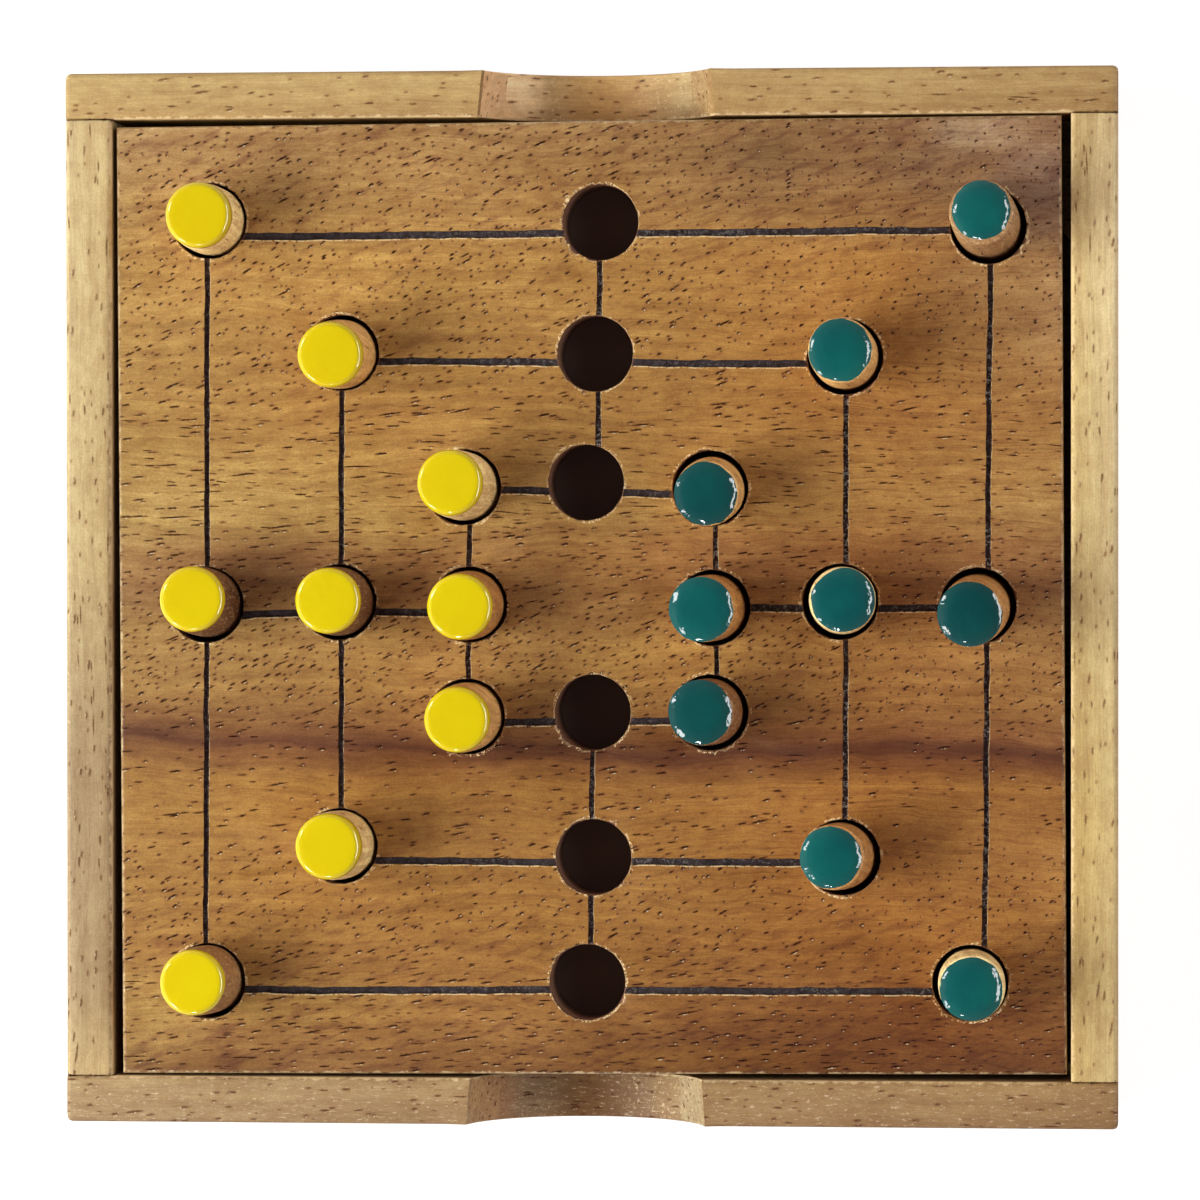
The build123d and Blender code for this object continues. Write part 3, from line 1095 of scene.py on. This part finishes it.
def build_revolved(node, name, profile, place, steps, uneven, material, slot, **settings):
    """A piece of a peg from a profile of radii and heights, closed at both ends on the axis."""
    points = []
    for radius, height in profile:
        for step in range(steps):
            angle = 2 * math.pi * step / steps
            reach, lift = uneven(angle, radius, height)
            local = Vector((reach * math.cos(angle), reach * math.sin(angle), lift))
            points.append(tuple(place @ local))
    faces = skin(len(profile), steps)
    make_piece(node + name, points, faces, [material], node, slot, **settings)


def build_dowel(node, tone, slot, crown_drop, edge, swell):
    """The bare wood of a peg, with the rounded edge of its head and a swell below it."""
    place = peg_frame(node)
    seed = place.translation.x + place.translation.y
    profile = [(axis_gap, -peg_length), (peg_radius - 0.3, -peg_length),
               (peg_radius, -peg_length + 0.3)]
    profile += [(peg_radius + share * swell, height) for share, height in
                ((0.5, -18.0), (1.0, -13.0), (1.0, -9.0), (0.8, -5.0), (0.35, -2.5))]
    profile += [(peg_radius - inset, -crown_drop - drop)
                for inset, drop in rounding(edge, (0.0, 0.5, 1.0, quarter_turn))]
    profile += [(2.0, -crown_drop), (axis_gap, -crown_drop)]

    def uneven(angle, radius, height):
        return radius - 0.04 + 0.04 * circled(angle, 1.6, height * 0.15 + seed), height

    build_revolved(node, "_dowel", profile, place, 72, uneven, dowel_tones[tone], slot, replaced=[node])


def build_yellow_enamel(node, skirt):
    """A cap of paint, which covers the head and runs a little way down the side."""
    place = peg_frame(node)
    seed = place.translation.x - place.translation.y
    profile = [(axis_gap, -skirt - 0.1), (peg_radius - 0.2, -skirt - 0.1), (peg_radius, -skirt),
               (peg_radius + 0.03, -skirt + 0.15)]
    profile += [(peg_radius + enamel_coat - inset, -enamel_coat - drop) for inset, drop in
                rounding(yellow_shoulder, (0.0, 0.2, 0.4, 0.6, 0.8, 1.0, 1.2, 1.4))]
    profile += [(radius, -enamel_coat * (radius / peg_radius) ** 2)
                for radius in (3.3, 2.8, 2.0, 1.0, axis_gap)]

    def uneven(angle, radius, height):
        swell = circled(angle, radius * 0.35, 0.0, seed)
        drip = circled(angle, 1.4, seed)
        low = min(1.0, max(0.0, -height / skirt))
        return radius + 0.03 * drip * low, height - 0.5 * drip * low ** 3 - 0.05 * abs(swell)

    build_revolved(node, "_enamel", profile, place, 96, uneven, yellow_enamel, "yellow_pegs",
                   crease=enamel_crease)


def build_green_enamel(node, puddle, shift, paint):
    """A domed puddle of paint on the head, with a ring of bare wood round it."""
    place = peg_frame(node)
    seed = place.translation.x - place.translation.y
    profile = [(axis_gap, -green_thickness - 0.05), (puddle * 0.99, -green_thickness - 0.05)]
    profile += [(puddle * share, -green_thickness * share ** 4)
                for share in (1.0, 0.995, 0.98, 0.955, 0.92, 0.87, 0.8, 0.7, 0.55, 0.35, 0.1)]

    def uneven(angle, radius, height):
        outline = 0.025 * circled(angle, 1.2, seed) + 0.012 * circled(angle, 3.5, seed + 9)
        swell = circled(angle, radius * 0.45, 0.0, seed, 5.0)
        lift = height - 0.08 * abs(swell) * (height > -green_thickness)
        return min(radius * (1 + outline - 0.005), peg_radius - 0.04), lift

    aside = Matrix.Translation(Vector((*shift, 0)))
    build_revolved(node, "_enamel", profile, aside @ place, 96, uneven, paint, "green_pegs",
                   crease=enamel_crease)


for number, (tone, skirt) in enumerate(zip(yellow_tones, yellow_skirts), start=1):
    build_dowel(f"yellow_peg_{number}", tone, "yellow_pegs", crown_drop=0.3, edge=1.1, swell=0.3)
    build_yellow_enamel(f"yellow_peg_{number}", skirt)
for number, (tone, (puddle, *shift)) in enumerate(zip(green_tones, green_puddles), start=1):
    build_dowel(f"green_peg_{number}", tone, "green_pegs", crown_drop=0.73, edge=0.3, swell=0.15)
    paint = deep_enamel if number in deep_green_pegs else green_enamel
    build_green_enamel(f"green_peg_{number}", puddle, shift, paint)


# Nodes of the frame that stay, with their own wood
for node, piece in frame["nodes"].items():
    if node == "floor_panel" or node.startswith("corner_block"):
        piece.data.materials.clear()
        piece.data.materials.append(inside_wood)


# Floor, lamps and camera

def build_floor():
    """A plain white floor, which keeps a faint shadow."""
    look = Look("floor_paint")
    grain = look.noise(look.place, 0.02, 2.0)
    look.put("Base Color", look.ramp(grain, [(0.0, (0.32, 0.32, 0.32)), (1.0, (0.36, 0.36, 0.36))]))
    look.put("Roughness", 0.9)
    look.put("Specular IOR Level", 0.1)
    rays = look.node("ShaderNodeLightPath").outputs
    seen = look.most(rays["Is Camera Ray"], rays["Is Glossy Ray"])
    seen = look.most(seen, rays["Is Transmission Ray"])
    look.put("Emission Color", (1.0, 1.0, 1.0))
    look.put("Emission Strength", seen * 0.84)
    reach = 4.0
    corners = [(-reach, -reach, 0), (reach, -reach, 0), (reach, reach, 0), (-reach, reach, 0)]
    mesh = bpy.data.meshes.new("floor")
    mesh.from_pydata(corners, [], [(0, 1, 2, 3)])
    mesh.materials.append(look.material)
    floor = bpy.data.objects.new("floor", mesh)
    bpy.context.scene.collection.objects.link(floor)


def build_world():
    """A sky that lights as a studio does, pale at the horizon and dark overhead, and looks white."""
    world = bpy.data.worlds.new("studio")
    bpy.context.scene.world = world
    world.use_nodes = True
    nodes = Nodes(world.node_tree)
    height = nodes.split(nodes.node("ShaderNodeTexCoord").outputs["Generated"])[2]
    shades = [(0.0, 0.9), (0.12, 0.85), (0.5, 0.42), (0.85, 0.2), (1.0, 0.1)]
    sky = nodes.ramp(height, [(place, (value, 0.87 * value, 0.86 * value)) for place, value in shades])
    seen = nodes.node("ShaderNodeLightPath").outputs["Is Camera Ray"]
    background = world.node_tree.nodes["Background"].inputs
    nodes.feed(background["Color"], nodes.mix(seen, sky, (1.0, 1.0, 1.0)))
    nodes.feed(background["Strength"], 1.0)


def softbox(name, place, width, height, power, glossy):
    """A soft lamp that points at the middle of the board, seen only in gloss or only elsewhere."""
    lamp = bpy.data.lights.new(name, "AREA")
    lamp.shape = "RECTANGLE"
    lamp.size = width
    lamp.size_y = height
    lamp.energy = power
    lamp.color = (1.0, 1.0, 1.0) if glossy else (0.91, 1.0, 1.0)
    holder = bpy.data.objects.new(name, lamp)
    holder.location = place
    way = Vector((0, 0, 0.03)) - Vector(place)
    holder.rotation_euler = way.to_track_quat("-Z", "Y").to_euler()
    holder.visible_glossy = glossy
    holder.visible_diffuse = not glossy
    bpy.context.scene.collection.objects.link(holder)


def build_camera():
    """A camera high above the board, a little to its right."""
    aim = Vector((1.62, -0.28, rim)) * mm
    distance = 0.75
    lean_x = math.radians(5.0)
    lean_y = math.radians(0.5)
    view_width = 0.15896  # what the frame takes in at the rim
    camera = bpy.data.cameras.new("camera")
    camera.sensor_width = 36
    camera.lens = camera.sensor_width * distance / view_width
    camera.clip_start = 0.05
    camera.clip_end = 20
    holder = bpy.data.objects.new("camera", camera)
    way = Vector((math.tan(lean_x), math.tan(lean_y), 1)).normalized()
    right = Vector((1, 0, 0)) - way * way.x
    right.normalize()
    up = way.cross(right)
    turn = Matrix((right, up, way)).transposed().to_4x4()
    holder.matrix_world = Matrix.Translation(aim + way * distance) @ turn
    bpy.context.scene.collection.objects.link(holder)
    bpy.context.scene.camera = holder


build_floor()
build_world()
softbox("left_softbox", (-0.62, -0.12, 0.46), 0.6, 0.45, 9.6, False)
softbox("right_softbox", (0.66, 0.1, 0.5), 0.4, 0.7, 2.2, False)
softbox("left_glint", (-0.62, -0.12, 0.46), 0.95, 0.18, 11.0, True)
softbox("right_glint", (0.66, 0.02, 0.5), 0.8, 0.12, 5.0, True)
softbox("front_glint", (-0.12, -0.62, 0.4), 0.07, 0.04, 1.0, True)
build_camera()
bpy.context.scene.view_settings.view_transform = "Standard"
